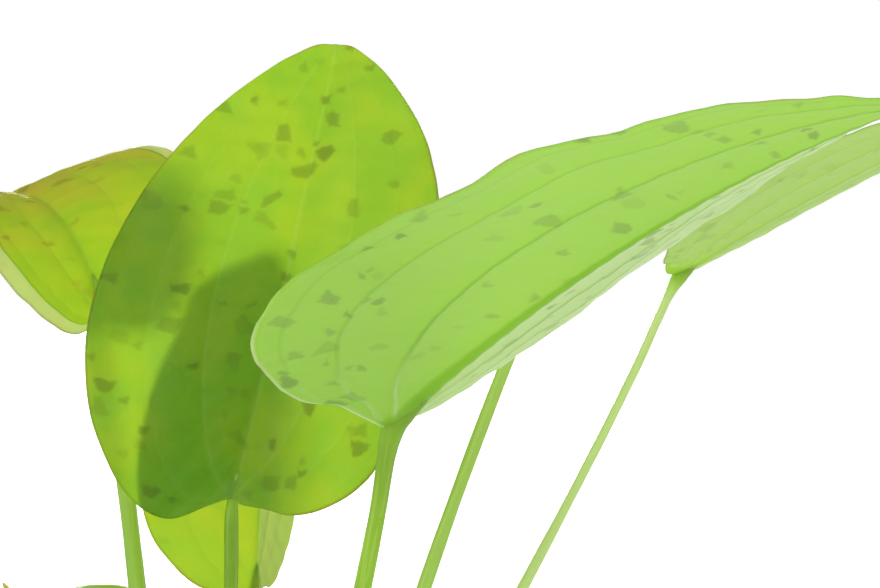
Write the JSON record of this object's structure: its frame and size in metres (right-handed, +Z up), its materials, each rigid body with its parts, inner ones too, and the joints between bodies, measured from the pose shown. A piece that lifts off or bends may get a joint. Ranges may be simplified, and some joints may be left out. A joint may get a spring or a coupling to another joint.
{
  "type": "amazon sword plant",
  "caption": "Whole aquarium sword plant lifted with its roots: mottled green heart-based leaves on long stalks rising from a short crown over a mat of roots",
  "frame": {"origin": "middle of the flat underside of the root mat, on the surface that the plant stands on", "axes": "+Z up along the rosette; the tall leaf shows its upper face towards -Y; +X is the side where the front and right leaves reach out"},
  "size_m": [0.2437, 0.2275, 0.2677],
  "materials": {
    "leaf": "satin",
    "young_leaf": "satin",
    "stalk": "satin",
    "crown": "matte",
    "roots": "matte"
  },
  "bodies": {
    "root": {"blade_tall": "leaf", "blade_front": "leaf", "blade_left": "leaf", "blade_back": "leaf", "blade_right": "leaf", "blade_shaded": "leaf", "blade_low_left": "leaf", "blade_far_left": "leaf", "blade_young": "young_leaf", "blade_low_front": "leaf", "blade_low_back": "leaf", "stalk_tall": "stalk", "stalk_front": "stalk", "stalk_left": "stalk", "stalk_back": "stalk", "stalk_right": "stalk", "stalk_shaded": "stalk", "stalk_low_left": "stalk", "stalk_far_left": "stalk", "stalk_young": "stalk", "stalk_low_front": "stalk", "stalk_low_back": "stalk", "crown": "crown", "root_mat": "roots"}
  },
  "joints": []
}
